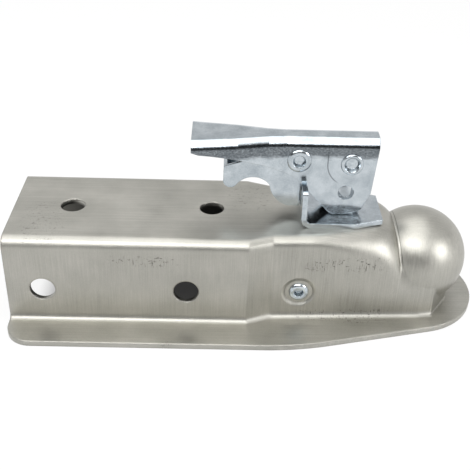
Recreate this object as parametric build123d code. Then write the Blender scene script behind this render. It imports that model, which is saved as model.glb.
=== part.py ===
from build123d import *
import math
import os

os.makedirs("parts", exist_ok=True)

# Straight-tongue trailer coupling head for a 47.6 mm ball.
# Units are millimetres. +X points to the nose, +Z is up.
# The origin is the centre of the ball when it is seated in the socket.
# A setback is a distance behind the ball, towards the tongue.

# Ball socket
ball_diameter = 47.6
socket_clearance = 0.8
ball_height = 26.0
lip_radius = 16.6

# Stamped body
sheet = 3.0
body_height = 52.8
ball_to_rear = 223.7
channel_width = 73.0
waist_width = 63.0
bend_radius = 6.0
jog_rear_setback = 95.7
jog_front_setback = 82.7
shoulder_setback = 61.7
neck_fall_setback = 30.7
groove_setback = 12.7
groove_drop = 7.3
groove_radius = 27.5
neck_steps = 4
cheek_step = 0.3
cheek_drop = 12.4
cheek_radius = 24.0
cheek_reach = 7.4
cheek_taper = 1.4
chin_reach = 18.6
chin_half_width = 10.6
chin_drop = 22.0
chin_radius = 9.0
wall_foot_radius = 3.0

# Flange
flange_width = 113.6
flange_reach = 34.5
flange_nose_radius = 39.7
flange_taper_setback = 69.7
flange_taper_radius = 150.0
flange_corner_radius = 14.0

# Tongue bolt holes
bolt_hole_diameter = 13.5
hole_spacing = 76.2
side_hole_inset = 19.05
top_hole_inset = 31.75
side_hole_height = 22.2

# Draw bolt and its hardware
bolt_setback = 42.7
shank_diameter = 9.5
shank_hole_clearance = 0.75
bolt_head_width = 14.0
bolt_head_corner = 2.0
bolt_eye_diameter = 17.0
bolt_drop = 7.5
shank_tail = 1.5
nut_across_flats = 14.3
nut_corner_diameter = 15.7
nut_flange_diameter = 19.0
nut_flange_thickness = 1.8
nut_height = 8.0
washer_diameter = 20.0
washer_thickness = 1.6

# Ball clamp
pivot_setback = 67.7
pivot_height = 19.3
pivot_diameter = 8.0
pivot_head_diameter = 10.6
pivot_head_height = 1.2
pivot_recess_diameter = 5.2
dimple_diameter = 15.7
dimple_depth = 0.8
clamp_gap = 0.5
clamp_wall = 6.0
clamp_width = 40.0
clamp_foot = 2.0
clamp_cup_top = 22.0
clamp_cup_reach = 15.0
clamp_arm_width = 27.0
clamp_arm_height = 7.5
clamp_boss_diameter = 16.0
saddle_radius = 7.5
saddle_slot_length = 18.0

# Latch bracket
bracket_sheet = 2.8
bracket_width = 37.8
bracket_bend_radius = 5.5
bracket_front_reach = 19.0
bracket_chamfer_length = 16.0
bracket_chamfer_width = 5.7
upright_setback = 25.5
post_height = 21.2
post_corner_radius = 2.0
slot_floor_height = 7.8
tongue_height = 15.4
window_sill = 0.9
window_height = 8.6

# Latch handle
handle_sheet = 2.5
handle_width = 17.0
handle_bend_radius = 6.0
pin_height = 33.2
handle_rise = 13.6
handle_front_reach = 13.8
handle_straight_length = 34.5
flare_setback = 44.0
flare_width = 18.8
flank_setback = 60.0
flank_width = 25.6
grip_length = 84.0
grip_width = 32.8
grip_end_depth = 5.4
grip_corner_setback = 80.2
grip_corner_depth = 6.9
grip_mid_setback = 54.9
grip_mid_depth = 12.1
throat_setback = 30.0
throat_depth = 21.6
throat_radius = 6.0
lobe_setback = 9.0
lobe_radius = 5.0
toe_turn = 24.0
toe_radius = 5.0
front_lean = 2.2
handle_pin_diameter = 8.0
handle_pin_head_diameter = 12.0
handle_pin_recess_diameter = 8.5
rivet_head_height = 1.0
recess_floor_share = 0.7
lock_hole_diameter = 8.5
lock_hole_drop = 16.9
lock_hole_setback = 1.8
cam_gap = 0.35
handle_swing = 90.0

# Trigger
trigger_setback = 27.7
trigger_rise = 1.4
trigger_sheet = 1.8
trigger_width = 10.8
trigger_rivet_diameter = 6.4
trigger_rivet_head_diameter = 12.7
trigger_rivet_recess_diameter = 7.0
trigger_ear_radius = 6.5
tail_reach = 39.4
tail_top_drop = 5.8
tail_end_drop = 13.0
hook_reach = 36.9
hook_drop = 18.0
arch_rear_reach = 32.2
arch_front_reach = 14.8
arch_foot_drop = 16.2
arch_crown_drop = 11.8
catch_belly_reach = 11.6
catch_belly_drop = 23.8
catch_foot_reach = 4.7
catch_drop = 28.6
catch_front_reach = 1.6
catch_web_height = 14.6
nose_width = 6.0
nose_reach = 6.9

# Springs
spring_wire = 2.4
spring_mean_diameter = 15.0
spring_turns = 5.0
trigger_wire = 1.1
trigger_spring_turns = 4.25
trigger_spring_upper_leg = 11.0
trigger_spring_lower_leg = 8.0
trigger_spring_angle = 60.0

# Fits
running_clearance = 0.08
rivet_clearance = 0.03
side_clearance = 0.4
coil_clearance = 0.3

# Places that the sizes above give
ball_radius = ball_diameter / 2
dome_inner = ball_radius + socket_clearance
dome_outer = dome_inner + sheet
base_z = -ball_height
top_z = base_z + body_height
plate_z = top_z + bracket_sheet
rear_x = -ball_to_rear
bolt_x = -bolt_setback
pivot_x = -pivot_setback
pivot_z = base_z + pivot_height
pin_z = top_z + pin_height
handle_top_z = pin_z + handle_rise
handle_inner = handle_width / 2 - handle_sheet
trigger_x = bolt_x - trigger_setback
trigger_z = pin_z + trigger_rise
cheek_half_width = dome_outer + cheek_step
shank_hole_radius = shank_diameter / 2 + shank_hole_clearance
saddle_top_z = pivot_z + saddle_radius + side_clearance
saddle_foot_z = pivot_z - saddle_radius - side_clearance
spring_foot_z = saddle_top_z + washer_thickness
nut_top_z = saddle_foot_z - washer_thickness
through = 4 * body_height
touch = 0.01


def upright_cylinder(radius, x, low, high):
    """Cylinder along Z on the mid plane, from low to high."""
    return Pos(x, 0, (low + high) / 2) * Cylinder(radius, high - low)


def cross_cylinder(radius, x, z, length):
    """Cylinder along Y, centred on the mid plane."""
    return Pos(x, 0, z) * Rot(90, 0, 0) * Cylinder(radius, length)


def mid_block(low_x, high_x, width, low_z, high_z):
    """Block centred on the mid plane."""
    block = Box(high_x - low_x, width, high_z - low_z)
    return Pos((low_x + high_x) / 2, 0, (low_z + high_z) / 2) * block


def side_extrusion(face, width):
    """Side view drawn in X and Z, given this width across the mid plane."""
    return extrude(Plane.XZ * face, width / 2, both=True)


def corners_at(face, x, height):
    """Corners of a drawn face that lie at this x and height."""
    return face.vertices().filter_by(lambda v: abs(v.X - x) < touch and abs(v.Y - height) < touch)


def waist_half_width(setback):
    """Half width of the narrowed body at a setback: an even taper from the jog to the ball."""
    share = min(setback / jog_front_setback, 1.0)
    return cheek_half_width + (waist_width / 2 - cheek_half_width) * share


def hood_section(x, half_width, drop, radius, inset):
    """Inverted U outline across the body at x, moved inwards by inset."""
    width = half_width - inset
    crown = top_z - drop - inset
    floor = base_z - 2 * inset
    face = make_face(Polyline((-width, floor), (-width, crown), (width, crown), (width, floor), close=True))
    face = fillet(face.vertices().sort_by(Axis.Y)[-2:], radius - inset)
    return Plane(origin=(x, 0, 0), x_dir=(0, 1, 0), z_dir=(1, 0, 0)) * face


def neck_section(setback, inset):
    """Outline of the neck: its corners round off and its crown falls away towards the groove."""
    rounding = (shoulder_setback - setback) / (shoulder_setback - groove_setback)
    fall = max(neck_fall_setback - setback, 0) / (neck_fall_setback - groove_setback)
    radius = bend_radius + (groove_radius - bend_radius) * rounding**1.5
    return hood_section(-setback, waist_half_width(setback), groove_drop * fall**3, radius, inset)


def neck_loft(rear_setback, front_setback, inset):
    """Smooth stretch of the neck between two setbacks."""
    length = rear_setback - front_setback
    setbacks = [rear_setback - length * step / neck_steps for step in range(neck_steps + 1)]
    return loft([neck_section(setback, inset) for setback in setbacks])


def hood_form(inset):
    """Channel, waist, neck and cheeks as one solid, moved inwards by inset."""
    channel = channel_width / 2
    waist = waist_width / 2
    rear = [
        hood_section(rear_x - inset, channel, 0, bend_radius, inset),
        hood_section(-jog_rear_setback, channel, 0, bend_radius, inset),
        hood_section(-jog_front_setback, waist, 0, bend_radius, inset),
        neck_section(shoulder_setback, inset),
    ]
    cheeks = [
        neck_section(groove_setback, inset),
        hood_section(0, cheek_half_width, cheek_drop, cheek_radius, inset),
        hood_section(cheek_reach - inset / 2, cheek_half_width - cheek_taper, cheek_drop, cheek_radius, inset),
    ]
    shoulder = neck_loft(shoulder_setback, neck_fall_setback, inset)
    neck = neck_loft(neck_fall_setback, groove_setback, inset)
    return loft(rear, ruled=True) + shoulder + neck + loft(cheeks, ruled=True)


def chin_form():
    """Blunt front below the dome, where the walls turn in under the ball."""
    start = cheek_half_width - cheek_taper
    sections = [
        hood_section(cheek_reach, start, cheek_drop, cheek_radius, 0),
        hood_section(chin_reach, chin_half_width, chin_drop, chin_radius, 0),
    ]
    return loft(sections, ruled=True)


def flange_plate():
    """Flat skirt around the body: straight sides that run tangent into a round nose."""
    half = flange_width / 2
    taper_x = -flange_taper_setback
    nose_x = flange_reach - flange_nose_radius
    run = nose_x - taper_x
    slope = math.atan2(half, run) - math.asin(flange_nose_radius / math.hypot(run, half))
    tangent_x = nose_x + flange_nose_radius * math.sin(slope)
    tangent_y = flange_nose_radius * math.cos(slope)
    near = Polyline((rear_x, 0), (rear_x, -half), (taper_x, -half), (tangent_x, -tangent_y))
    nose = ThreePointArc((tangent_x, -tangent_y), (flange_reach, 0), (tangent_x, tangent_y))
    far = Polyline((tangent_x, tangent_y), (taper_x, half), (rear_x, half), (rear_x, 0))
    face = make_face([near, nose, far])
    rear_corners = corners_at(face, rear_x, half) + corners_at(face, rear_x, -half)
    face = fillet(rear_corners, flange_corner_radius)
    bends = corners_at(face, taper_x, half) + corners_at(face, taper_x, -half)
    face = fillet(bends, flange_taper_radius)
    return extrude(Pos(0, 0, base_z) * face, sheet)


def dimple_face():
    """Distance from the mid plane to the flat floor of the rivet dimples."""
    return waist_half_width(pivot_setback) - dimple_depth


def wall_half_width(x):
    """Half width of the body's wall at x, from the channel over the jog to the cheeks."""
    if x > -jog_front_setback:
        return waist_half_width(max(-x, 0))
    share = max(jog_rear_setback + x, 0) / (jog_rear_setback - jog_front_setback)
    return channel_width / 2 + (waist_width / 2 - channel_width / 2) * share


def is_wall_foot(edge):
    """True for the edges where the side walls meet the top of the flange."""
    centre = edge.center()
    on_flange = abs(centre.Z - base_z - sheet) < touch
    on_wall = abs(abs(centre.Y) - wall_half_width(centre.X)) < sheet / 2
    return on_flange and on_wall and rear_x + touch < centre.X < cheek_reach


def make_body():
    """Stamped body: hood, ball dome and flange pressed from one piece of sheet."""
    outer = hood_form(0) + flange_plate()
    outer = fillet(outer.edges().filter_by(is_wall_foot), wall_foot_radius)
    outer += chin_form()
    outer += Sphere(dome_outer) & Pos(0, 0, through / 2 + base_z) * Box(through, through, through)
    outer += upright_cylinder(lip_radius + sheet, 0, base_z, 0)
    dimple_back = dimple_face() - sheet
    pads = cross_cylinder_pair(dimple_diameter / 2 + sheet / 2, dimple_back, dimple_face())
    outer += pads
    cavity = hood_form(sheet) - pads
    body = outer - cavity - Sphere(dome_inner) - upright_cylinder(lip_radius, 0, base_z - sheet, 0)
    body -= cross_cylinder_pair(dimple_diameter / 2, dimple_face(), dimple_face() + sheet)
    body -= cross_cylinder(pivot_diameter / 2 + rivet_clearance, pivot_x, pivot_z, through)
    for step in (0, hole_spacing):
        side_x = rear_x + side_hole_inset + step
        body -= cross_cylinder(bolt_hole_diameter / 2, side_x, base_z + side_hole_height, through)
        body -= upright_cylinder(bolt_hole_diameter / 2, rear_x + top_hole_inset + step, 0, through)
    return body - upright_cylinder(shank_hole_radius, bolt_x, 0, through)


def cross_cylinder_pair(radius, near_y, far_y):
    """Two cylinders along Y at the clamp pivot, one on each side, from near_y out to far_y."""
    disc = Rot(90, 0, 0) * Cylinder(radius, far_y - near_y)
    disc = Pos(pivot_x, (near_y + far_y) / 2, pivot_z) * disc
    return disc + mirror(disc, Plane.XZ)


def rivet(shank_radius, grip, head_radius, head_height, recess_radius):
    """Tubular rivet along Y: a rolled ring head round a tapered recess at each end of the grip."""
    seat = grip / 2
    crown = seat + head_height
    floor = seat - head_height
    floor_radius = recess_radius * recess_floor_share
    rim = seat + head_height / 3
    roll = ((recess_radius + head_radius) / 2, crown + head_height / 6)
    flank = Polyline((0, 0), (0, floor), (floor_radius, floor), (recess_radius, crown))
    ring = ThreePointArc((recess_radius, crown), roll, (head_radius, rim))
    shank = Polyline((head_radius, rim), (head_radius, seat), (shank_radius, seat), (shank_radius, 0), (0, 0))
    half_rivet = revolve(make_face([flank, ring, shank]), Axis.Y)
    return half_rivet + mirror(half_rivet, Plane.XZ)


def make_pivot_rivet():
    """Rivet across the waist that carries the ball clamp, its heads down in the dimples."""
    grip = 2 * dimple_face()
    head = pivot_head_diameter / 2
    piece = rivet(pivot_diameter / 2, grip, head, pivot_head_height, pivot_recess_diameter / 2)
    return Pos(pivot_x, 0, pivot_z) * piece


def make_clamp():
    """Forked ball clamp: a boss on the rivet, two arms beside the bolt and a cup under the ball."""
    cup_inner = ball_radius + clamp_gap
    cup_outer = cup_inner + clamp_wall
    cup_low = base_z + clamp_foot
    cup_high = base_z + clamp_cup_top
    cup_block = mid_block(-cup_outer, -clamp_cup_reach, clamp_width, cup_low, cup_high)
    cup = Sphere(cup_outer) & cup_block
    arm_half = clamp_arm_height / 2
    arms = mid_block(pivot_x, -cup_inner, clamp_arm_width, pivot_z - arm_half, pivot_z + arm_half)
    arms += cross_cylinder(saddle_radius, bolt_x, pivot_z, clamp_arm_width)
    boss_length = 2 * (dimple_face() - sheet - 2 * side_clearance)
    boss = cross_cylinder(clamp_boss_diameter / 2, pivot_x, pivot_z, boss_length)
    clamp = cup + arms + boss - Sphere(cup_inner)
    clamp -= cross_cylinder(pivot_diameter / 2 + running_clearance, pivot_x, pivot_z, through)
    slot = Box(saddle_slot_length, 2 * shank_hole_radius, through)
    return clamp - Pos(bolt_x, 0, 0) * slot


def make_draw_bolt():
    """Eye bolt: a flat head with the handle eye and the lock hole, and a round shank."""
    thickness = 2 * (handle_inner - side_clearance)
    head_z = plate_z + bolt_drop + side_clearance
    half = bolt_head_width / 2
    head = mid_block(bolt_x - half, bolt_x + half, thickness, head_z, pin_z)
    lower_edges = head.edges().filter_by(Axis.Y).sort_by(Axis.Z)[:2]
    head = fillet(lower_edges, bolt_head_corner)
    head += cross_cylinder(bolt_eye_diameter / 2, bolt_x, pin_z, thickness)
    bolt = head + upright_cylinder(shank_diameter / 2, bolt_x, base_z + shank_tail, head_z + bolt_head_corner)
    bolt -= cross_cylinder(handle_pin_diameter / 2 + running_clearance, bolt_x, pin_z, through)
    lock_x = bolt_x - lock_hole_setback
    return bolt - cross_cylinder(lock_hole_diameter / 2, lock_x, pin_z - lock_hole_drop, through)


def make_washer(low):
    """Flat washer on the draw bolt with its underside at low."""
    disc = upright_cylinder(washer_diameter / 2, bolt_x, low, low + washer_thickness)
    return disc - upright_cylinder(shank_diameter / 2 + running_clearance, bolt_x, low, low + washer_thickness)


def make_nut():
    """Flanged adjusting nut under the clamp, with its corners turned round."""
    low = nut_top_z - nut_height
    hexagon = RegularPolygon(nut_across_flats / 2, 6, major_radius=False)
    nut = extrude(Pos(bolt_x, 0, low) * hexagon, nut_height)
    nut &= upright_cylinder(nut_corner_diameter / 2, bolt_x, low, nut_top_z)
    nut += upright_cylinder(nut_flange_diameter / 2, bolt_x, nut_top_z - nut_flange_thickness, nut_top_z)
    return nut - upright_cylinder(shank_diameter / 2 + running_clearance, bolt_x, low, nut_top_z)


def make_jaw_spring():
    """Compression spring between the upper washer and the inside of the body top, ground flat."""
    length = top_z - sheet - spring_foot_z
    radius = spring_mean_diameter / 2
    pitch = length / (spring_turns - 1)
    helix = Helix(pitch=pitch, height=length, radius=radius)
    wire = sweep(Plane(origin=helix @ 0, z_dir=helix % 0) * Circle(spring_wire / 2), path=helix)
    bounds = upright_cylinder(radius + spring_wire, 0, 0, length)
    return Pos(bolt_x, 0, spring_foot_z) * (wire & bounds)


def bracket_profile():
    """Side view of the bracket: the base plate, the bend and the upright."""
    front = bolt_x + bracket_front_reach
    rear = bolt_x - upright_setback
    inner = rear + bracket_sheet
    high = top_z + post_height
    outline = Polyline(
        (rear, top_z),
        (front, top_z),
        (front, plate_z),
        (inner, plate_z),
        (inner, high),
        (rear, high),
        close=True,
    )
    face = make_face(outline)
    face = fillet(corners_at(face, rear, top_z), bracket_bend_radius)
    return fillet(corners_at(face, inner, plate_z), bracket_bend_radius - bracket_sheet)


def bracket_blank():
    """Plan view of the base plate with its two front corners cut off."""
    half = bracket_width / 2
    front = bolt_x + bracket_front_reach
    cut_x = front - bracket_chamfer_length
    nose_half = half - bracket_chamfer_width
    rear = bolt_x - upright_setback
    outline = Polyline(
        (rear, -half),
        (cut_x, -half),
        (front, -nose_half),
        (front, nose_half),
        (cut_x, half),
        (rear, half),
        close=True,
    )
    return extrude(Pos(0, 0, top_z) * make_face(outline), through)


def upright_opening(low_y, high_y, low_z, high_z):
    """Opening cut through the upright between two heights, mirrored to both sides."""
    rear = bolt_x - upright_setback
    block = Box(4 * bracket_sheet, high_y - low_y, high_z - low_z)
    cut = Pos(rear, (low_y + high_y) / 2, (low_z + high_z) / 2) * block
    return cut + mirror(cut, Plane.XZ)


def make_bracket():
    """Latch bracket: two posts beside the handle and a tongue with the catch window."""
    bracket = side_extrusion(bracket_profile(), bracket_width) & bracket_blank()
    bracket -= upright_cylinder(shank_hole_radius, bolt_x, 0, through)
    tongue_half = handle_inner - side_clearance
    post_inner = handle_width / 2 + 2 * side_clearance
    window_half = nose_width / 2 + side_clearance
    high = top_z + 2 * post_height
    tongue_z = top_z + tongue_height
    window_z = plate_z + window_sill
    bracket -= upright_opening(tongue_half, post_inner, top_z + slot_floor_height, high)
    bracket -= upright_opening(-tongue_half, tongue_half, tongue_z, high)
    bracket -= upright_opening(-window_half, window_half, window_z, window_z + window_height)
    post_corners = bracket.edges().filter_by(Axis.X).sort_by(Axis.Z)[-4:]
    return fillet(post_corners, post_corner_radius)


def handle_section(x, half_width, inset):
    """Inverted U outline across the handle at x, moved inwards by inset."""
    width = half_width - inset
    crown = handle_top_z - inset
    floor = top_z - inset
    face = make_face(Polyline((-width, floor), (-width, crown), (width, crown), (width, floor), close=True))
    face = fillet(face.vertices().sort_by(Axis.Y)[-2:], handle_bend_radius - inset)
    return Plane(origin=(x, 0, 0), x_dir=(0, 1, 0), z_dir=(1, 0, 0)) * face


def handle_form(inset):
    """Folded channel of the handle: straight over the pins and flared at the grip."""
    straight = handle_width / 2
    front_x = bolt_x + handle_front_reach + front_lean + inset
    sections = [
        handle_section(bolt_x - grip_length - handle_sheet - inset, grip_width / 2, inset),
        handle_section(bolt_x - flank_setback, flank_width / 2, inset),
        handle_section(bolt_x - flare_setback, flare_width / 2, inset),
        handle_section(bolt_x - handle_straight_length, straight, inset),
        handle_section(front_x, straight, inset),
    ]
    return loft(sections, ruled=True)


def cam_point(turn):
    """Point of the cam edge that faces the plate once the handle has swung by turn degrees.

    The height of the pin over the plate shrinks evenly with the swing, so the edge is
    the curve that stays tangent to the plate while the bolt drops.
    """
    angle = math.radians(turn)
    rate = bolt_drop / math.radians(handle_swing)
    reach = pin_z - plate_z - cam_gap - rate * angle
    x = reach * math.sin(angle) - rate * math.cos(angle)
    z = -reach * math.cos(angle) - rate * math.sin(angle)
    return (bolt_x + x, pin_z + z)


def handle_outline():
    """Side view of the handle: grip, throat, lobe, cam edge and leaning front edge."""
    crown = handle_top_z + handle_sheet
    grip_end = bolt_x - grip_length
    grip_end_point = (grip_end, handle_top_z - grip_end_depth)
    grip_corner = (bolt_x - grip_corner_setback, handle_top_z - grip_corner_depth)
    grip_mid = (bolt_x - grip_mid_setback, handle_top_z - grip_mid_depth)
    throat = (bolt_x - throat_setback, handle_top_z - throat_depth)
    lobe = (bolt_x - lobe_setback, cam_point(0)[1])
    toe = cam_point(toe_turn)
    front_x = bolt_x + handle_front_reach
    front_foot = (front_x - front_lean, pin_z - lock_hole_drop)
    under = ThreePointArc(grip_corner, grip_mid, throat)
    slope = Polyline(throat, lobe, cam_point(0))
    cam = ThreePointArc(cam_point(0), cam_point(toe_turn / 2), toe)
    rest = Polyline(toe, front_foot, (front_x, handle_top_z), (front_x, crown), (grip_end, crown), grip_end_point)
    face = make_face([under, slope, cam, rest, Line(grip_end_point, grip_corner)])
    face = fillet(corners_at(face, *throat), throat_radius)
    face = fillet(corners_at(face, *lobe), lobe_radius)
    return fillet(corners_at(face, *toe), toe_radius)


def make_handle():
    """Latch handle: a folded channel cut to its side outline, with pin, rivet and lock holes."""
    handle = (handle_form(0) - handle_form(handle_sheet)) & side_extrusion(handle_outline(), 2 * grip_width)
    handle -= cross_cylinder(handle_pin_diameter / 2 + rivet_clearance, bolt_x, pin_z, through)
    handle -= cross_cylinder(trigger_rivet_diameter / 2 + rivet_clearance, trigger_x, trigger_z, through)
    lock_x = bolt_x - lock_hole_setback
    return handle - cross_cylinder(lock_hole_diameter / 2, lock_x, pin_z - lock_hole_drop, through)


def make_handle_pin():
    """Rivet through the handle and the eye of the draw bolt."""
    head = handle_pin_head_diameter / 2
    recess = handle_pin_recess_diameter / 2
    return Pos(bolt_x, 0, pin_z) * rivet(handle_pin_diameter / 2, handle_width, head, rivet_head_height, recess)


def make_trigger_rivet():
    """Rivet through the handle that carries the trigger."""
    head = trigger_rivet_head_diameter / 2
    recess = trigger_rivet_recess_diameter / 2
    piece = rivet(trigger_rivet_diameter / 2, handle_width, head, rivet_head_height, recess)
    return Pos(trigger_x, 0, trigger_z) * piece


def trigger_outline():
    """Side view of the trigger about its rivet: tail, finger hook, arch, catch and back edge."""
    tail_top = (-tail_reach, -tail_top_drop)
    tail_end = (-tail_reach, -tail_end_drop)
    hook = (-hook_reach, -hook_drop)
    arch_rear = (-arch_rear_reach, -arch_foot_drop)
    arch_crown = (-(arch_rear_reach + arch_front_reach) / 2, -arch_crown_drop)
    arch_front = (-arch_front_reach, -arch_foot_drop)
    belly = (-catch_belly_reach, -catch_belly_drop)
    foot = (-catch_foot_reach, -catch_drop)
    heel = (catch_front_reach, -catch_drop)
    edges = [
        Line(tail_top, tail_end),
        ThreePointArc(tail_end, hook, arch_rear),
        ThreePointArc(arch_rear, arch_crown, arch_front),
        ThreePointArc(arch_front, belly, foot),
        Line(foot, heel),
        Polyline(heel, (catch_front_reach, -trigger_ear_radius), (0, trigger_ear_radius), tail_top),
    ]
    return make_face(edges)


def trigger_pocket():
    """Open space between the side plates, which leaves the webs at the hook and the catch."""
    rear = -tail_reach + trigger_sheet
    hook_x = -arch_rear_reach - trigger_sheet
    back = catch_front_reach - trigger_sheet
    web_top = catch_web_height - catch_drop
    above = 2 * trigger_ear_radius
    ahead = 2 * nose_reach
    outline = Polyline(
        (rear, above),
        (rear, -tail_end_drop),
        (hook_x, -hook_drop + trigger_sheet),
        (hook_x, -2 * catch_drop),
        (back, -2 * catch_drop),
        (back, web_top),
        (ahead, web_top),
        (ahead, above),
        close=True,
    )
    return make_face(outline)


def make_trigger():
    """Folded trigger: two side plates, a web round the finger hook and a web with the catch nose."""
    trigger = side_extrusion(trigger_outline(), trigger_width)
    trigger += cross_cylinder(trigger_ear_radius, 0, 0, trigger_width)
    trigger -= side_extrusion(trigger_pocket(), trigger_width - 2 * trigger_sheet)
    nose_x = catch_front_reach - trigger_sheet
    trigger += mid_block(nose_x, nose_reach, nose_width, -catch_drop, trigger_sheet - catch_drop)
    trigger -= cross_cylinder(trigger_rivet_diameter / 2 + running_clearance, 0, 0, through)
    return Pos(trigger_x, 0, trigger_z) * trigger


def make_trigger_spring():
    """Torsion spring on the trigger rivet, with one leg under the handle and one in the trigger."""
    radius = trigger_rivet_diameter / 2 + coil_clearance + trigger_wire / 2
    length = trigger_width - 2 * trigger_sheet - 2 * side_clearance - trigger_wire
    helix = Helix(pitch=length / trigger_spring_turns, height=length, radius=radius)
    lower = Line(helix @ 0 - (helix % 0) * trigger_spring_lower_leg, helix @ 0)
    upper = Line(helix @ 1, helix @ 1 + (helix % 1) * trigger_spring_upper_leg)
    path = Wire([*lower.edges(), *helix.edges(), *upper.edges()])
    wire = sweep(Plane(origin=path @ 0, z_dir=path % 0) * Circle(trigger_wire / 2), path=path)
    turn = trigger_spring_angle - 360 * trigger_spring_turns
    standing = Rot(0, 0, turn) * Pos(0, 0, -length / 2) * wire
    return Pos(trigger_x, 0, trigger_z) * Rot(90, 0, 0) * standing


pieces = {
    "coupler_body": make_body(),
    "latch_bracket": make_bracket(),
    "jaw_pivot_rivet": make_pivot_rivet(),
    "ball_clamp": make_clamp(),
    "draw_bolt": make_draw_bolt(),
    "jaw_spring": make_jaw_spring(),
    "spring_seat_washer": make_washer(saddle_top_z),
    "clamp_washer": make_washer(nut_top_z),
    "adjusting_nut": make_nut(),
    "latch_handle": make_handle(),
    "handle_pin": make_handle_pin(),
    "trigger_rivet": make_trigger_rivet(),
    "trigger": make_trigger(),
    "trigger_spring": make_trigger_spring(),
}

for name, piece in pieces.items():
    export_step(piece, f"parts/{name}.step")
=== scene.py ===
import logging
import math
from dataclasses import dataclass
from enum import Enum

import bpy
from mathutils import Matrix, Vector


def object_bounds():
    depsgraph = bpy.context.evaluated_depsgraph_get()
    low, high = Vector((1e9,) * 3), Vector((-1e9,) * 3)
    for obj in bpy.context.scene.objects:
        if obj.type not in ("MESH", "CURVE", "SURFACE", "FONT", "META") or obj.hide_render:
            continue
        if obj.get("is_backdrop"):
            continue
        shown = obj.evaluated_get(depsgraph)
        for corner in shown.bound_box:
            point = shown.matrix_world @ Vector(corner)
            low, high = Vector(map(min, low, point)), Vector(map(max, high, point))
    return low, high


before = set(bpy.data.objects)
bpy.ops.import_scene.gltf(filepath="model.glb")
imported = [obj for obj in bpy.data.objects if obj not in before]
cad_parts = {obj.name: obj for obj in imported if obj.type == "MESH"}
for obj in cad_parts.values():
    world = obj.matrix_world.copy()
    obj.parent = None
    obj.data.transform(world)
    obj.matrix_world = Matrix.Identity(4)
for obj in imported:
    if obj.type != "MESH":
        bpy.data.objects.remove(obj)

logging.basicConfig(level=logging.INFO, format="%(message)s")
log = logging.getLogger("coupling_head")

MM = 0.001
WHITE = (1.0, 1.0, 1.0, 1.0)
WHITE_LEVEL = 1.0
RISING = (0.0, 1.0)
FALLING = (1.0, 0.0)
NOISE_ROUGHNESS = 0.55
NOISE_SPAN = (0.3, 0.7)
EDGE_SAMPLES = 6

Tree = bpy.types.NodeTree
Socket = bpy.types.NodeSocket
Value = float | bpy.types.NodeSocket
Pair = tuple[float, float]
Triple = tuple[float, float, float]
Colour = tuple[float, float, float, float]


def srgb(code: str) -> Colour:
    """Turns an sRGB hex colour into linear RGBA.

    Args:
        code: six hex digits after a hash.

    Returns:
        Linear red, green and blue, and an alpha of 1.
    """
    values = [int(code[i:i + 2], 16) / 255 for i in (1, 3, 5)]
    linear = [v / 12.92 if v <= 0.04045 else ((v + 0.055) / 1.055) ** 2.4 for v in values]
    return (*linear, 1.0)


def add_node(tree: Tree, kind: str, settings: dict | None = None,
             inputs: dict | None = None) -> bpy.types.Node:
    """Adds a node, sets its properties and sets or links its inputs.

    Args:
        tree: the node tree that it joins.
        kind: Blender's node type.
        settings: properties of the node.
        inputs: for each input's name or number, a value or the output to link to it.

    Returns:
        The new node.
    """
    node = tree.nodes.new(kind)
    for name, value in (settings or {}).items():
        setattr(node, name, value)
    for name, value in (inputs or {}).items():
        if isinstance(value, Socket):
            tree.links.new(value, node.inputs[name])
        else:
            node.inputs[name].default_value = value
    return node


def math_node(tree: Tree, operation: str, first: Value, second: Value = 0.0) -> Socket:
    """Does one step of arithmetic.

    Args:
        tree: the node tree.
        operation: Blender's name of the operation.
        first: the first number or socket.
        second: the second number or socket, where the operation has one.

    Returns:
        The result.
    """
    inputs = {0: first, 1: second}
    return add_node(tree, "ShaderNodeMath", {"operation": operation}, inputs).outputs[0]


def product(tree: Tree, first: Value, *others: Value) -> Socket:
    """Multiplies two or more values.

    Args:
        tree: the node tree.
        first: the first number or socket.
        others: what it is multiplied by.

    Returns:
        The product.
    """
    for value in others:
        first = math_node(tree, "MULTIPLY", first, value)
    return first


def weighted_sum(tree: Tree, *parts: tuple[Socket, float]) -> Socket:
    """Adds up values by weight.

    Args:
        tree: the node tree.
        parts: each value with its weight.

    Returns:
        The sum.
    """
    total = product(tree, *parts[0])
    for part in parts[1:]:
        total = math_node(tree, "ADD", total, product(tree, *part))
    return total


def distance(tree: Tree, across: Socket, high: Socket) -> Socket:
    """Works out how long an offset in the upright plane is: the root of its squared parts.

    Args:
        tree: the node tree.
        across: the offset along X.
        high: the offset along Z.

    Returns:
        The length.
    """
    square = math_node(tree, "ADD", product(tree, across, across), product(tree, high, high))
    return math_node(tree, "SQRT", square)


def axis(tree: Tree, coords: Socket, letter: str) -> Socket:
    """Takes one axis out of coordinates.

    Args:
        tree: the node tree.
        coords: the coordinates.
        letter: X, Y or Z.

    Returns:
        The value along that axis.
    """
    return add_node(tree, "ShaderNodeSeparateXYZ", inputs={0: coords}).outputs[letter]


def remap(tree: Tree, value: Socket, span: Pair, result: Pair = RISING) -> Socket:
    """Stretches one range of a value to another and clamps it there.

    Args:
        tree: the node tree.
        value: the value.
        span: the two ends of the range that is stretched.
        result: what each of the two ends becomes.

    Returns:
        The stretched value.
    """
    return add_node(tree, "ShaderNodeMapRange", {"clamp": True}, {
        "Value": value, "From Min": span[0], "From Max": span[1],
        "To Min": result[0], "To Max": result[1]}).outputs[0]


def remap_mm(tree: Tree, value: Socket, span_mm: Pair, result: Pair = RISING) -> Socket:
    """Stretches a range of a length in metres, whose ends are given in millimetres.

    Args:
        tree: the node tree.
        value: the length in metres.
        span_mm: the two ends of the range in millimetres.
        result: what each of the two ends becomes.

    Returns:
        The stretched value.
    """
    return remap(tree, value, (span_mm[0] * MM, span_mm[1] * MM), result)


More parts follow.
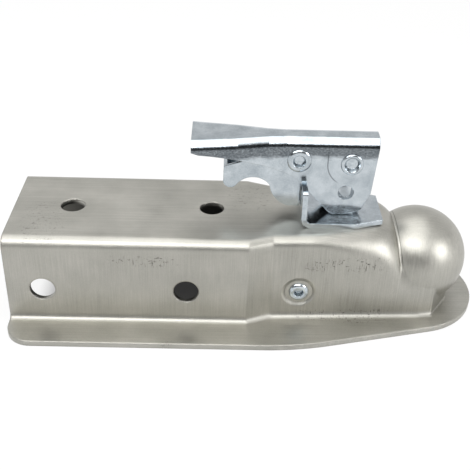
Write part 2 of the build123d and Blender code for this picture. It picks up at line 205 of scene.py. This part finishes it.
def mix_colour(tree: Tree, share: Value, first: Colour | Socket,
               second: Colour | Socket) -> Socket:
    """Mixes two colours.

    Args:
        tree: the node tree.
        share: how much of the second colour there is.
        first: the first colour.
        second: the second colour.

    Returns:
        The mixed colour.
    """
    node = add_node(tree, "ShaderNodeMix", {"data_type": "RGBA"}, {"Factor": share})
    for name, value in (("A", first), ("B", second)):
        socket = [s for s in node.inputs if s.name == name and s.type == "RGBA"][0]
        if isinstance(value, Socket):
            tree.links.new(value, socket)
        else:
            socket.default_value = value
    return [s for s in node.outputs if s.type == "RGBA"][0]


def stretched_noise(tree: Tree, coords: Socket, size_mm: Triple, detail: float) -> Socket:
    """Makes noise whose grains have the given size along X, Y and Z.

    Args:
        tree: the node tree.
        coords: object coordinates in metres.
        size_mm: the grain's size along each axis, in millimetres.
        detail: how many finer layers are added.

    Returns:
        The noise value, from 0 to 1.
    """
    scale = tuple(1 / (s * MM) for s in size_mm)
    mapped = add_node(tree, "ShaderNodeMapping", inputs={"Vector": coords, "Scale": scale})
    noise = add_node(tree, "ShaderNodeTexNoise", inputs={
        "Vector": mapped.outputs[0], "Scale": 1.0, "Detail": detail,
        "Roughness": NOISE_ROUGHNESS})
    return noise.outputs["Fac"]


def even_noise(tree: Tree, coords: Socket, size_mm: float, detail: float) -> Socket:
    """Makes noise with round grains.

    Args:
        tree: the node tree.
        coords: object coordinates in metres.
        size_mm: the grain's size in millimetres.
        detail: how many finer layers are added.

    Returns:
        The noise value, from 0 to 1.
    """
    return stretched_noise(tree, coords, (size_mm,) * 3, detail)


def raise_surface(tree: Tree, height: Socket, strength: float, depth_mm: float,
                  normal: Socket) -> Socket:
    """Lays a bump over a normal.

    Args:
        tree: the node tree.
        height: the height of the bump, in depths.
        strength: the share of the bump that counts.
        depth_mm: how far a height of 1 rises, in millimetres.
        normal: the normal beneath.

    Returns:
        The new normal.
    """
    return add_node(tree, "ShaderNodeBump", inputs={
        "Height": height, "Strength": strength, "Distance": depth_mm * MM,
        "Normal": normal}).outputs[0]


@dataclass(frozen=True)
class SoftBox:
    """A box with soft walls that keeps a mark in one place.

    Attributes:
        centre_mm: the middle of the box.
        half_mm: how far it reaches each way.
        core: the share of the reach that has the full value.
    """

    centre_mm: Triple
    half_mm: Triple
    core: float = 0.55

    def mask(self, tree: Tree, coords: Socket) -> Socket:
        """Makes the box's mask.

        Args:
            tree: the node tree.
            coords: object coordinates in metres.

        Returns:
            1 in the middle of the box, falling to 0 at its walls.
        """
        axes = add_node(tree, "ShaderNodeSeparateXYZ", inputs={0: coords})
        walls = []
        for socket, centre, half in zip(axes.outputs, self.centre_mm, self.half_mm):
            off = math_node(tree, "ABSOLUTE", math_node(tree, "SUBTRACT", socket, centre * MM))
            walls.append(remap_mm(tree, off, (half * self.core, half), FALLING))
        return product(tree, *walls)


@dataclass(frozen=True)
class ScuffZone:
    """A stretch of the body with tool marks: where it lies and how dark its specks are."""

    box: SoftBox
    depth: float


@dataclass(frozen=True)
class Surface:
    """What a finish hands to the shader: its colour, its roughness and its normal."""

    colour: Socket
    rough: Socket
    normal: Socket


@dataclass(frozen=True)
class Metal:
    """What every metal finish has: a name, two shades, a roughness and rounded edges."""

    name: str
    dark: str
    light: str
    roughness: float
    rounding_mm: float

    def build(self) -> bpy.types.Material:
        """Makes the material.

        Returns:
            The finished material.
        """
        material = bpy.data.materials.new(self.name)
        material.use_nodes = True
        tree = material.node_tree
        coords = add_node(tree, "ShaderNodeTexCoord").outputs["Object"]
        surface = self.surface(tree, coords)
        shader = tree.nodes["Principled BSDF"]
        tree.links.new(surface.colour, shader.inputs["Base Color"])
        tree.links.new(surface.rough, shader.inputs["Roughness"])
        tree.links.new(surface.normal, shader.inputs["Normal"])
        shader.inputs["Metallic"].default_value = 1.0
        return material

    def surface(self, tree: Tree, coords: Socket) -> Surface:
        """Makes the finish's own pattern, which each metal says for itself."""
        raise NotImplementedError

    def shades(self, tree: Tree, tone: Socket, span: Pair) -> Socket:
        """Mixes the dark and the light shade.

        Args:
            tree: the node tree.
            tone: the value that chooses between them.
            span: the tones of the pure dark and the pure light shade.

        Returns:
            The colour.
        """
        return mix_colour(tree, remap(tree, tone, span), srgb(self.dark), srgb(self.light))

    def rounded_edges(self, tree: Tree) -> Socket:
        """The normal with every sharp edge rounded."""
        radius = {"Radius": self.rounding_mm * MM}
        return add_node(tree, "ShaderNodeBevel", {"samples": EDGE_SAMPLES}, radius).outputs[0]


@dataclass(frozen=True)
class PressedSteel(Metal):
    """Bare cold-rolled sheet after deep drawing: satin, with die streaks along the metal's flow.

    The eye sees soft broad highlights, fine upright lines on the walls and lengthwise ones on
    the top and the flange, and small dark scuffs where the dies have dragged. The inside of the
    channel has painted shade: it is darkened with a flat colour.

    Attributes:
        inside: the hollow whose darker colour is painted shade.
        top_mm: the heights between which the wall turns into the top.
        flange_mm: the heights between which the wall turns into the flange.
        speck_mm: the size of a scuff's specks.
        drag_mm: the size of a scuff's drag marks.
        groove_x_mm: where the pair of die lines stands at the ball's height.
        groove_lean: how far the lines lean along X for each length of height.
        groove_foot_mm: the heights between which the lines begin.
        dimple_mm: X and Z of the rivet dimples.
    """

    name: str = "pressed_cold_rolled_steel"
    dark: str = "#9C9B94"
    light: str = "#BDBBB4"
    roughness: float = 0.41
    rounding_mm: float = 1.5
    nick: str = "#4C4A45"
    # painted shade: the dark colour of the channel's inside
    inside_shade_colour: str = "#4E4D49"
    inside_shade_share: float = 0.8
    inside: SoftBox = SoftBox((-165.0, 0.0, -5.0), (66.0, 34.8, 30.4), core=0.97)
    top_mm: Pair = (21.0, 25.0)
    flange_mm: Pair = (-21.0, -23.0)
    upright_streak_mm: Triple = (0.38, 2.28, 22.0)
    lengthwise_streak_mm: Triple = (44.0, 0.38, 2.28)
    mottle_mm: float = 22.0
    grain_mm: float = 0.4
    streak_tone: float = 0.4
    mottle_tone: float = 0.35
    grain_tone: float = 0.25
    tone_span: Pair = (0.36, 0.64)
    streak_rough: Pair = (-0.04, 0.05)
    mottle_rough: Pair = (-0.03, 0.04)
    streak_height: float = 0.5
    grain_height: float = 0.35
    mark_depth: float = 0.8
    relief: float = 0.14
    relief_mm: float = 0.08
    speck_mm: Triple = (2.4, 1.5, 1.2)
    drag_mm: Triple = (0.525, 1.5, 5.25)
    mark_span: Pair = (0.60, 0.68)
    groove_x_mm: float = -11.3
    groove_lean: float = -0.16
    groove_gap_mm: float = 0.8
    groove_width_mm: Pair = (0.12, 0.3)
    groove_shade: Pair = (0.55, 0.0)
    groove_foot_mm: Pair = (6.0, 9.0)
    dimple_mm: Pair = (-67.7, -6.7)
    dimple_rim_mm: Pair = (7.4, 9.4)
    dimple_relief: float = 1.0
    dimple_depth_mm: float = 0.9
    scuffs: tuple[ScuffZone, ...] = (
        ScuffZone(SoftBox((-152.0, -36.0, 15.0), (22.0, 5.0, 4.0)), 0.8),
        ScuffZone(SoftBox((-43.0, -30.0, 11.0), (26.0, 6.0, 5.0)), 0.95),
        ScuffZone(SoftBox((-43.0, -31.0, -21.0), (30.0, 6.0, 3.0)), 0.9),
        ScuffZone(SoftBox((-138.0, -56.0, -24.5), (3.0, 4.0, 3.0)), 0.9),
        ScuffZone(SoftBox((-205.0, -20.0, 27.0), (14.0, 30.0, 4.0)), 0.4),
        ScuffZone(SoftBox((-95.0, 14.0, 27.0), (16.0, 20.0, 4.0)), 0.4),
    )

    def surface(self, tree: Tree, coords: Socket) -> Surface:
        """Makes the pressed sheet's pattern.

        Args:
            tree: the node tree.
            coords: object coordinates in metres.

        Returns:
            The colour, roughness and normal.
        """
        streaks = self.streaks(tree, coords)
        mottle = even_noise(tree, coords, self.mottle_mm, detail=6.0)
        grain = even_noise(tree, coords, self.grain_mm, detail=3.0)
        scuff = self.scuff_mask(tree, coords)
        groove = self.groove_mask(tree, coords)
        tone = weighted_sum(tree, (streaks, self.streak_tone), (mottle, self.mottle_tone),
                            (grain, self.grain_tone))
        # painted shade: the inside of the channel is darkened
        inside_shade = product(tree, self.inside.mask(tree, coords), self.inside_shade_share)
        colour = self.shades(tree, tone, self.tone_span)
        for share, stain in ((inside_shade, self.inside_shade_colour), (scuff, self.nick), (groove, self.nick)):
            colour = mix_colour(tree, share, colour, srgb(stain))
        rough = self.roughness
        for noise, change in ((streaks, self.streak_rough), (mottle, self.mottle_rough)):
            rough = math_node(tree, "ADD", remap(tree, noise, NOISE_SPAN, change), rough)
        height = weighted_sum(tree, (streaks, self.streak_height), (grain, self.grain_height))
        marks = product(tree, math_node(tree, "ADD", scuff, groove), self.mark_depth)
        height = math_node(tree, "SUBTRACT", height, marks)
        drawn = raise_surface(tree, self.dimple_rim(tree, coords), self.dimple_relief,
                              self.dimple_depth_mm, self.rounded_edges(tree))
        normal = raise_surface(tree, height, self.relief, self.relief_mm, drawn)
        return Surface(colour, rough, normal)

    def streaks(self, tree: Tree, coords: Socket) -> Socket:
        """Makes the die streaks: upright on the walls, lengthwise on the top and the flange.

        Args:
            tree: the node tree.
            coords: object coordinates in metres.

        Returns:
            The streaks, from 0 to 1.
        """
        height = axis(tree, coords, "Z")
        top = remap_mm(tree, height, self.top_mm)
        level = math_node(tree, "MAXIMUM", top, remap_mm(tree, height, self.flange_mm))
        upright = stretched_noise(tree, coords, self.upright_streak_mm, detail=5.0)
        lengthwise = stretched_noise(tree, coords, self.lengthwise_streak_mm, detail=5.0)
        return add_node(tree, "ShaderNodeMix", {"data_type": "FLOAT"},
                        {"Factor": level, 2: upright, 3: lengthwise}).outputs[0]

    def scuff_mask(self, tree: Tree, coords: Socket) -> Socket:
        """Makes dark specks and short drag marks inside the scuffed stretches.

        Args:
            tree: the node tree.
            coords: object coordinates in metres.

        Returns:
            The darkness of the marks, from 0 to 1.
        """
        specks = stretched_noise(tree, coords, self.speck_mm, detail=6.0)
        drags = stretched_noise(tree, coords, self.drag_mm, detail=4.0)
        marks = math_node(tree, "MAXIMUM", remap(tree, specks, self.mark_span),
                          remap(tree, drags, self.mark_span))
        stretches = [product(tree, zone.box.mask(tree, coords), zone.depth) for zone in self.scuffs]
        darkest = stretches[0]
        for stretch in stretches[1:]:
            darkest = math_node(tree, "MAXIMUM", darkest, stretch)
        return product(tree, marks, darkest)

    def dimple_rim(self, tree: Tree, coords: Socket) -> Socket:
        """Makes the drawn rim round the rivet dimples.

        Args:
            tree: the node tree.
            coords: object coordinates in metres.

        Returns:
            0 at the dimple and 1 outside its rim.
        """
        centre_x, centre_z = self.dimple_mm
        across = math_node(tree, "SUBTRACT", axis(tree, coords, "X"), centre_x * MM)
        high = math_node(tree, "SUBTRACT", axis(tree, coords, "Z"), centre_z * MM)
        return remap_mm(tree, distance(tree, across, high), self.dimple_rim_mm)

    def groove_mask(self, tree: Tree, coords: Socket) -> Socket:
        """Makes two thin die lines in the valley between the neck and the dome.

        Args:
            tree: the node tree.
            coords: object coordinates in metres.

        Returns:
            The darkness of the lines.
        """
        height = axis(tree, coords, "Z")
        lean = product(tree, height, self.groove_lean)
        across = math_node(tree, "SUBTRACT", axis(tree, coords, "X"), self.groove_x_mm * MM)
        off = math_node(tree, "ABSOLUTE", math_node(tree, "SUBTRACT", across, lean))
        beside = math_node(tree, "SUBTRACT", off, self.groove_gap_mm * MM)
        line = remap_mm(tree, math_node(tree, "ABSOLUTE", beside), self.groove_width_mm,
                        self.groove_shade)
        return product(tree, line, remap_mm(tree, height, self.groove_foot_mm))


@dataclass(frozen=True)
class ZincPlate(Metal):
    """Bright zinc plating over pressed or turned steel: bluish and glossy with a fine speckle.

    The eye sees crisp reflections broken by a fine sparkle and a few rubbed scratches.

    Attributes:
        thread_pitch_mm: the pitch of the thread, or 0 without one.
        thread_top_mm: the height at which the thread ends.
        bend_reflection_mm: the lower and upper end of a painted dark reflection on a bend, or 0
            without one.
        bend_fade_mm: how far the band fades in at its lower and upper end.
        bend_drift_mm: how far the lower end strays from its height.
        boss_mm: X, Z and radius of the pressed line round a pin, which carries painted shade, or 0
            without one.
        boss_end_mm: how far behind the pin the line starts.
        boss_top_mm: the heights between which the line ends.
    """

    name: str
    dark: str = "#A2ABB1"
    light: str = "#CED5DA"
    roughness: float = 0.16
    rounding_mm: float = 0.35
    speckle_mm: float = 0.5
    cloud_mm: float = 9.0
    scratch_mm: Triple = (14.0, 0.45, 0.45)
    speckle_tone: float = 0.4
    cloud_tone: float = 0.6
    tone_span: Pair = (0.34, 0.66)
    cloud_rough: Pair = (-0.03, 0.04)
    speckle_span: Pair = (0.35, 0.65)
    speckle_rough: Pair = (-0.04, 0.05)
    speckle_height: float = 0.7
    scratch_height: float = 0.5
    relief: float = 0.12
    relief_mm: float = 0.08
    thread_pitch_mm: float = 0.0
    thread_top_mm: float = 0.0
    thread_fade_mm: float = 0.5
    thread_relief: float = 0.9
    thread_depth_mm: float = 0.4
    # painted reflection: a dark band on a bend, with pits in it
    bend_reflection_mm: Pair = (0.0, 0.0)
    # the dark colour of the painted reflection on a bend and of the painted shade in the pressed
    # line
    painted_dark_colour: str = "#3C4146"
    bend_reflection_share: float = 0.85
    bend_fade_mm: Pair = (2.4, 0.6)
    bend_drift_mm: float = 1.2
    bend_wave_mm: Triple = (9.0, 3.0, 3.0)
    pit_mm: Triple = (1.0, 0.5, 0.5)
    pit_span: Pair = (0.36, 0.60)
    pit_share: Pair = (0.6, 1.0)
    boss_mm: Triple = (0.0, 0.0, 0.0)
    boss_line_mm: Pair = (0.15, 0.45)
    boss_end_mm: Pair = (-6.0, -9.0)
    boss_top_mm: Pair = (68.5, 66.5)
    # painted shade: the share of dark colour in the pressed line
    boss_shade_share: float = 0.6
    boss_depth: float = 4.0

    def surface(self, tree: Tree, coords: Socket) -> Surface:
        """Makes the plating's pattern.

        Args:
            tree: the node tree.
            coords: object coordinates in metres.

        Returns:
            The colour, roughness and normal.
        """
        speckle = even_noise(tree, coords, self.speckle_mm, detail=3.0)
        cloud = even_noise(tree, coords, self.cloud_mm, detail=5.0)
        scratch = stretched_noise(tree, coords, self.scratch_mm, detail=3.0)
        tone = weighted_sum(tree, (speckle, self.speckle_tone), (cloud, self.cloud_tone))
        height = weighted_sum(tree, (speckle, self.speckle_height),
                              (scratch, self.scratch_height))
        colour = self.shades(tree, tone, self.tone_span)
        # painted reflection: the dark band is laid into the bend's colour
        if any(self.bend_reflection_mm):
            bend_reflection = self.bend_reflection_mask(tree, coords)
            colour = mix_colour(tree, bend_reflection, colour, srgb(self.painted_dark_colour))
        # painted shade: the pressed line round the pin is darkened as well as sunk by its bump
        if any(self.boss_mm):
            line = self.boss_line(tree, coords)
            share = product(tree, line, self.boss_shade_share)
            colour = mix_colour(tree, share, colour, srgb(self.painted_dark_colour))
            pressed = product(tree, line, self.boss_depth)
            height = math_node(tree, "SUBTRACT", height, pressed)
        rough = self.roughness
        for noise, span, change in ((cloud, NOISE_SPAN, self.cloud_rough),
                                    (speckle, self.speckle_span, self.speckle_rough)):
            rough = math_node(tree, "ADD", remap(tree, noise, span, change), rough)
        edges = self.rounded_edges(tree)
        normal = raise_surface(tree, height, self.relief, self.relief_mm, edges)
        if self.thread_pitch_mm:
            normal = self.thread(tree, coords, normal)
        return Surface(colour, rough, normal)

    def bend_reflection_mask(self, tree: Tree, coords: Socket) -> Socket:
        """Makes the painted dark reflection along the outside of a tight bend, broken by pits.

        Args:
            tree: the node tree.
            coords: object coordinates in metres.

        Returns:
            How dark the band is at each point.
        """
        low, high = self.bend_reflection_mm
        low_fade, high_fade = self.bend_fade_mm
        height = axis(tree, coords, "Z")
        stray = self.bend_drift_mm * MM
        wave = stretched_noise(tree, coords, self.bend_wave_mm, detail=3.0)
        drift = remap(tree, wave, NOISE_SPAN, (-stray, stray))
        drifted = math_node(tree, "ADD", height, drift)
        rise = remap_mm(tree, drifted, (low, low + low_fade))
        fall = remap_mm(tree, height, (high - high_fade, high), FALLING)
        pits = stretched_noise(tree, coords, self.pit_mm, detail=5.0)
        pitted = remap(tree, pits, self.pit_span, self.pit_share)
        return product(tree, rise, fall, pitted, self.bend_reflection_share)

    def boss_line(self, tree: Tree, coords: Socket) -> Socket:
        """Makes the pressed line beside the pin: upright above its middle, an arc below it.

        Args:
            tree: the node tree.
            coords: object coordinates in metres.

        Returns:
            1 on the line and 0 elsewhere.
        """
        pin_x, pin_z, radius = self.boss_mm
        height = axis(tree, coords, "Z")
        across = math_node(tree, "SUBTRACT", axis(tree, coords, "X"), pin_x * MM)
        above_pin = math_node(tree, "SUBTRACT", height, pin_z * MM)
        drop = math_node(tree, "MINIMUM", above_pin, 0.0)
        away = math_node(tree, "SUBTRACT", distance(tree, across, drop), radius * MM)
        line = remap_mm(tree, math_node(tree, "ABSOLUTE", away), self.boss_line_mm, FALLING)
        behind_pin = remap_mm(tree, across, self.boss_end_mm)
        below_bend = remap_mm(tree, height, self.boss_top_mm)
        return product(tree, line, behind_pin, below_bend)

    def thread(self, tree: Tree, coords: Socket, normal: Socket) -> Socket:
        """Lays a rolled thread over the plating's own bump, as a sine wave below a height.

        Args:
            tree: the node tree.
            coords: object coordinates in metres.
            normal: the bump that the thread lies over.

        Returns:
            The new normal.
        """
        height = axis(tree, coords, "Z")
        turns = product(tree, height, 2 * math.pi / (self.thread_pitch_mm * MM))
        top = self.thread_top_mm
        low = remap_mm(tree, height, (top + self.thread_fade_mm, top))
        wave = product(tree, math_node(tree, "SINE", turns), low)
        return raise_surface(tree, wave, self.thread_relief, self.thread_depth_mm, normal)


@dataclass(frozen=True)
class ForgedSteel(Metal):
    """Drop-forged steel, left as it came from the die: dark, rough and slightly pitted."""

    name: str = "drop_forged_steel"
    dark: str = "#55534F"
    light: str = "#8B8984"
    roughness: float = 0.48
    rounding_mm: float = 0.6
    pit_mm: float = 0.9
    cloud_mm: float = 7.0
    tone_span: Pair = (0.35, 0.65)
    pit_rough: Pair = (-0.08, 0.1)
    relief: float = 0.35
    relief_mm: float = 0.15

    def surface(self, tree: Tree, coords: Socket) -> Surface:
        """Makes the forging's pattern.

        Args:
            tree: the node tree.
            coords: object coordinates in metres.

        Returns:
            The colour, roughness and normal.
        """
        pits = even_noise(tree, coords, self.pit_mm, detail=5.0)
        cloud = even_noise(tree, coords, self.cloud_mm, detail=5.0)
        colour = self.shades(tree, cloud, self.tone_span)
        change = remap(tree, pits, NOISE_SPAN, self.pit_rough)
        rough = math_node(tree, "ADD", change, self.roughness)
        edges = self.rounded_edges(tree)
        return Surface(colour, rough, raise_surface(tree, pits, self.relief, self.relief_mm, edges))


class Finish(Enum):
    """Every surface of the coupling head."""

    BODY = PressedSteel()
    SHEET = ZincPlate("bright_zinc_on_sheet")
    # the handle carries a painted dark reflection on its bend and painted shade in the pressed line
    # round its pin
    HANDLE = ZincPlate("bright_zinc_on_folded_handle", bend_reflection_mm=(62.4, 71.4),
                       boss_mm=(-42.7, 60.0, 12.8))
    RIVET = ZincPlate("bright_zinc_on_rivets", speckle_mm=0.8)
    BOLT = ZincPlate("zinc_on_threaded_bolt", thread_pitch_mm=1.27, thread_top_mm=10.0)
    HARDWARE = ZincPlate("zinc_on_hardware", dark="#8F979C", light="#C2C9CC")
    SPRING = ZincPlate("oiled_spring_wire", dark="#55585A", light="#8A8E90", roughness=0.3)
    CLAMP = ForgedSteel()


@dataclass(frozen=True)
class SubAssembly:
    """Packed pieces that belong together, which keep their CAD meshes and get their finish."""

    title: str

    def pieces(self) -> dict[str, Finish]:
        """Each piece's node with its finish, which each sub-assembly says for itself."""
        raise NotImplementedError

    def dress(self, materials: dict[Finish, bpy.types.Material]) -> None:
        """Gives every piece its finish and reports it.

        Args:
            materials: the material of each finish.
        """
        for name, finish in self.pieces().items():
            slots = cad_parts[name].data.materials
            slots.clear()
            slots.append(materials[finish])
            log.info("%s: %s in %s", self.title, name, finish.value.name)


@dataclass(frozen=True)
class StampedBody(SubAssembly):
    """The pressed body, and the rivet across it on which the ball clamp hinges."""

    title: str = "stamped body"
    pressing: Finish = Finish.BODY
    rivet: Finish = Finish.RIVET

    def pieces(self) -> dict[str, Finish]:
        """Each piece's node with its finish."""
        return {"coupler_body": self.pressing, "jaw_pivot_rivet": self.rivet}


@dataclass(frozen=True)
class LeverLatch(SubAssembly):
    """The bracket, the folded handle on its pin, and the trigger on its rivet and spring."""

    title: str = "lever latch"
    sheet: Finish = Finish.SHEET
    handle: Finish = Finish.HANDLE
    rivet: Finish = Finish.RIVET
    wire: Finish = Finish.SPRING

    def pieces(self) -> dict[str, Finish]:
        """Each piece's node with its finish."""
        return {
            "latch_bracket": self.sheet,
            "latch_handle": self.handle,
            "handle_pin": self.rivet,
            "trigger": self.sheet,
            "trigger_rivet": self.rivet,
            "trigger_spring": self.wire,
        }


@dataclass(frozen=True)
class ClampDrive(SubAssembly):
    """The draw bolt with its nut, washers and spring, and the clamp that it lifts."""

    title: str = "clamp drive"
    bolt: Finish = Finish.BOLT
    hardware: Finish = Finish.HARDWARE
    wire: Finish = Finish.SPRING
    forging: Finish = Finish.CLAMP

    def pieces(self) -> dict[str, Finish]:
        """Each piece's node with its finish."""
        return {
            "draw_bolt": self.bolt,
            "spring_seat_washer": self.hardware,
            "clamp_washer": self.hardware,
            "adjusting_nut": self.hardware,
            "jaw_spring": self.wire,
            "ball_clamp": self.forging,
        }


@dataclass(frozen=True)
class Viewpoint:
    """The photograph's camera: where it stands, where it looks and how long its lens is."""

    place_m: Triple = (-0.10993, -0.38874, 0.25570)
    azimuth_deg: float = 1.08
    elevation_deg: float = 32.33
    roll_deg: float = 1.8
    focal_px: float = 818.36
    frame_px: float = 470.0
    sensor_mm: float = 36.0
    nearest_m: float = 0.01

    def build(self) -> None:
        """Makes the camera and sets it as the scene's own."""
        azimuth, elevation = math.radians(self.azimuth_deg), math.radians(self.elevation_deg)
        roll = math.radians(self.roll_deg)
        look = Vector((math.sin(azimuth) * math.cos(elevation),
                       math.cos(azimuth) * math.cos(elevation), -math.sin(elevation)))
        level = Vector((math.cos(azimuth), -math.sin(azimuth), 0))
        above = level.cross(look)
        right = math.cos(roll) * level + math.sin(roll) * above
        up = -math.sin(roll) * level + math.cos(roll) * above
        data = bpy.data.cameras.new("viewpoint")
        data.sensor_width = self.sensor_mm
        data.lens = self.sensor_mm * self.focal_px / self.frame_px
        data.clip_start = self.nearest_m
        camera = bpy.data.objects.new("viewpoint", data)
        turn = Matrix((right, up, -look)).transposed().to_4x4()
        camera.matrix_world = Matrix.Translation(self.place_m) @ turn
        bpy.context.collection.objects.link(camera)
        bpy.context.scene.camera = camera


@dataclass(frozen=True)
class Table:
    """A matt white table top with painted shade under the object: a dark patch in its colour.

    Attributes:
        shown_white: the share of plain white in what a camera or a mirror sees of the table.
        shown_in_shade: the same share in the painted shade under the object.
    """

    name: str = "table_top"
    half_m: float = 14.0
    white: str = "#E9E9E8"
    # painted shade: the colour of the dark patch under the object
    dark: str = "#55534F"
    under_object_shade: SoftBox = SoftBox((-97.0, 0.0, 0.0), (118.0, 38.0, 90.0), core=0.85)
    paper_mm: float = 3.0
    roughness: Pair = (0.85, 0.95)
    shown_white: float = 0.85
    shown_in_shade: float = 0.03

    def build(self) -> None:
        """Makes the table top at the height on which the object stands."""
        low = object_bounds()[0].z
        half = self.half_m
        corners = [(-half, -half, low), (half, -half, low), (half, half, low), (-half, half, low)]
        mesh = bpy.data.meshes.new(self.name)
        mesh.from_pydata(corners, [], [(0, 1, 2, 3)])
        mesh.materials.append(self.material())
        plate = bpy.data.objects.new(self.name, mesh)
        bpy.context.collection.objects.link(plate)
        plate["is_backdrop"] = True

    def material(self) -> bpy.types.Material:
        """Makes the table's material, which is clear to a camera below it.

        Returns:
            The finished material.
        """
        material = bpy.data.materials.new("matt_white_table")
        material.use_nodes = True
        tree = material.node_tree
        shader = tree.nodes["Principled BSDF"]
        coords = add_node(tree, "ShaderNodeTexCoord").outputs["Object"]
        paper = even_noise(tree, coords, self.paper_mm, detail=3.0)
        # painted shade: the table's colour darkens under the object
        shade = self.under_object_shade.mask(tree, coords)
        colour = mix_colour(tree, shade, srgb(self.white), srgb(self.dark))
        tree.links.new(colour, shader.inputs["Base Color"])
        tree.links.new(remap(tree, paper, RISING, self.roughness), shader.inputs["Roughness"])
        shader.inputs["Specular IOR Level"].default_value = 0.0
        glow = add_node(tree, "ShaderNodeEmission", inputs={
            "Color": WHITE, "Strength": WHITE_LEVEL})
        ray = add_node(tree, "ShaderNodeLightPath").outputs
        mirrored = math_node(tree, "MAXIMUM", ray["Is Glossy Ray"], ray["Is Transmission Ray"])
        seen = math_node(tree, "MAXIMUM", ray["Is Camera Ray"], mirrored)
        share = remap(tree, shade, RISING, (self.shown_white, self.shown_in_shade))
        lit = add_node(tree, "ShaderNodeMixShader", inputs={
            0: product(tree, seen, share), 1: shader.outputs[0], 2: glow.outputs[0]})
        below = add_node(tree, "ShaderNodeNewGeometry").outputs["Backfacing"]
        clear = add_node(tree, "ShaderNodeBsdfTransparent")
        surface = add_node(tree, "ShaderNodeMixShader", inputs={
            0: below, 1: lit.outputs[0], 2: clear.outputs[0]})
        tree.links.new(surface.outputs[0], tree.nodes["Material Output"].inputs["Surface"])
        return material


@dataclass(frozen=True)
class Room:
    """The room round the table: white at the horizon, with a dark opening for the camera.

    Its spans are along a direction of length 1, with Y away from the camera and Z up.

    Attributes:
        back: the light of the rear half above the horizon.
        front: the light of the front half above the horizon.
        side_span: where the front half turns into the rear half.
        horizon_span: the heights between which the white of the horizon fades.
        opening: the share of the light that is left in the opening.
        opening_span: where the opening ends towards the rear.
        sill_span: the heights between which the opening begins.
        lintel_span: the heights between which the opening ends.
    """

    name: str = "studio_room"
    back: float = 0.76
    front: float = 0.6
    side_span: Pair = (-0.5, 0.6)
    horizon_span: Pair = (0.15, 0.4)
    opening: float = 0.1
    opening_span: Pair = (-0.5, -0.2)
    sill_span: Pair = (0.06, 0.16)
    lintel_span: Pair = (0.58, 0.68)

    def build(self) -> None:
        """Makes the world."""
        world = bpy.data.worlds.new(self.name)
        world.use_nodes = True
        tree = world.node_tree
        around = add_node(tree, "ShaderNodeTexCoord").outputs["Generated"]
        ahead, high = axis(tree, around, "Y"), axis(tree, around, "Z")
        walls = remap(tree, ahead, self.side_span, (self.front, self.back))
        darker = math_node(tree, "SUBTRACT", walls, WHITE_LEVEL)
        change = product(tree, darker, remap(tree, high, self.horizon_span))
        light = math_node(tree, "ADD", change, WHITE_LEVEL)
        gap = product(tree, remap(tree, high, self.sill_span),
                      remap(tree, high, self.lintel_span, FALLING),
                      remap(tree, ahead, self.opening_span, FALLING))
        left = remap(tree, gap, RISING, (WHITE_LEVEL, self.opening))
        background = tree.nodes["Background"]
        background.inputs["Color"].default_value = WHITE
        tree.links.new(product(tree, light, left), background.inputs["Strength"])
        bpy.context.scene.world = world


@dataclass(frozen=True)
class SoftLamp:
    """A rectangular soft lamp that is aimed at the middle of the object."""

    name: str
    place_m: Triple
    size_m: Pair
    power_w: float

    def build(self) -> None:
        """Makes the lamp."""
        data = bpy.data.lights.new(self.name, "AREA")
        data.shape = "RECTANGLE"
        data.size, data.size_y = self.size_m
        data.energy = self.power_w
        lamp = bpy.data.objects.new(self.name, data)
        low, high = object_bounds()
        aim = (low + high) / 2 - Vector(self.place_m)
        lamp.location = self.place_m
        lamp.rotation_euler = aim.to_track_quat("-Z", "Y").to_euler()
        bpy.context.collection.objects.link(lamp)


@dataclass(frozen=True)
class Studio:
    """A white table in a light room, under a large soft panel."""

    table: Table = Table()
    room: Room = Room()
    lamps: tuple[SoftLamp, ...] = (
        SoftLamp("overhead_panel", (-0.2, 0.0, 1.1), (1.4, 1.15), 8.0),
        SoftLamp("front_panel", (-0.4, -0.85, 1.1), (1.4, 0.5), 11.0),
        SoftLamp("nose_lamp", (0.72, -0.5, 0.42), (0.42, 0.42), 4.0),
    )

    def build(self) -> None:
        """Makes the table, the room and the lamps, and reports them."""
        for item in (self.table, self.room, *self.lamps):
            item.build()
            log.info("studio: %s", item.name)


def main() -> None:
    """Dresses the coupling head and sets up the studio."""
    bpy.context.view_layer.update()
    bpy.context.scene.view_settings.view_transform = "Standard"
    Viewpoint().build()
    materials = {finish: finish.value.build() for finish in Finish}
    for assembly in (StampedBody(), LeverLatch(), ClampDrive()):
        assembly.dress(materials)
    Studio().build()


if __name__ == "__main__":
    main()
